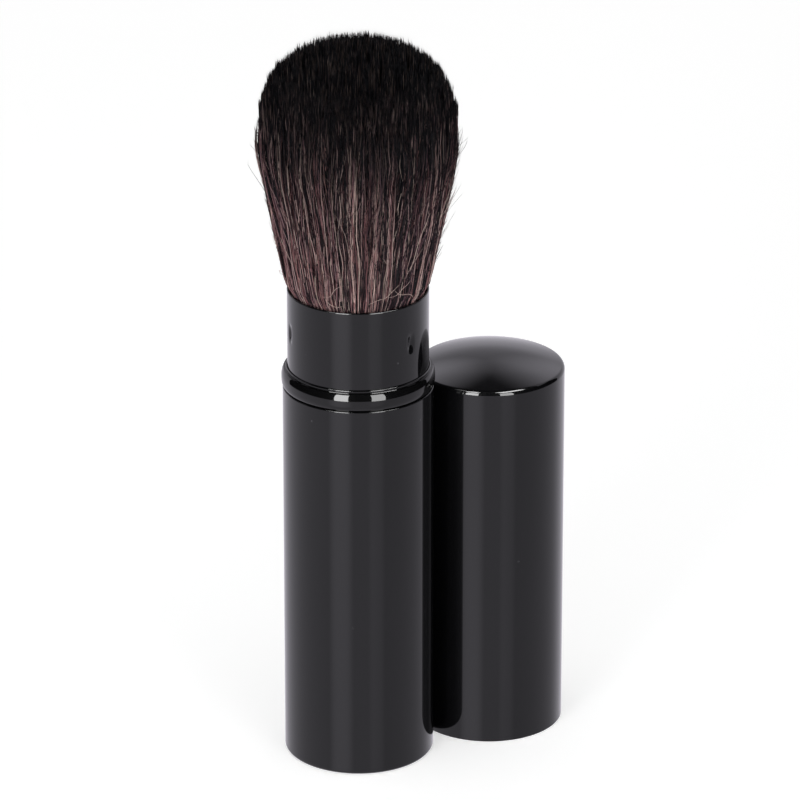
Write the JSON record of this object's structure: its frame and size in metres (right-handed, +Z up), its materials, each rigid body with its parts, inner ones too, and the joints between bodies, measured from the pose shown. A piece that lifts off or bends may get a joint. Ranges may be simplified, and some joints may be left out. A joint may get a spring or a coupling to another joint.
{
  "type": "retractable makeup brush",
  "caption": "Retractable powder makeup brush: straight tube handle with a beaded collar, sliding sleeve, domed bristle tuft, and its pull-off domed cap standing beside it.",
  "frame": {"origin": "centre of the handle's flat base, on the surface that it stands on", "axes": "+Z up along the handle towards the bristles; -Y is the front; the cap stands at +X, a little towards +Y"},
  "size_m": [0.0505, 0.0412, 0.1255],
  "materials": {
    "black_metal": "high gloss black",
    "collar_black": "high gloss black",
    "black_plastic": "moulded",
    "white_plastic": "moulded",
    "steel": "turned",
    "rubber": "matt",
    "bare_aluminium": "drawn",
    "resin": "set glue",
    "hair": "soft hair, black at the top and brown towards the sleeve"
  },
  "bodies": {
    "handle": {"handle_tube": "black_metal", "collar": "collar_black", "base_weight": "steel", "core_post": "white_plastic", "friction_ring": "rubber", "ferrule": "bare_aluminium", "glue_plug": "resin", "bristles": "hair"},
    "sleeve": {"sleeve_tube": "black_metal", "sleeve_foot": "black_plastic"},
    "cap": {"cap_shell": "black_metal", "cap_liner": "white_plastic"}
  },
  "joints": [
    {"name": "sleeve_slide", "type": "slide", "parent": "handle", "child": "sleeve", "axis": [0, 0, 1], "range_m": [0, 0.0435], "deforming": ["bristles"]},
    {"name": "cap_lift", "type": "slide", "parent": "handle", "child": "cap", "axis": [0.6124, 0.3536, 0.7071], "range_m": [0, 0.06]}
  ]
}
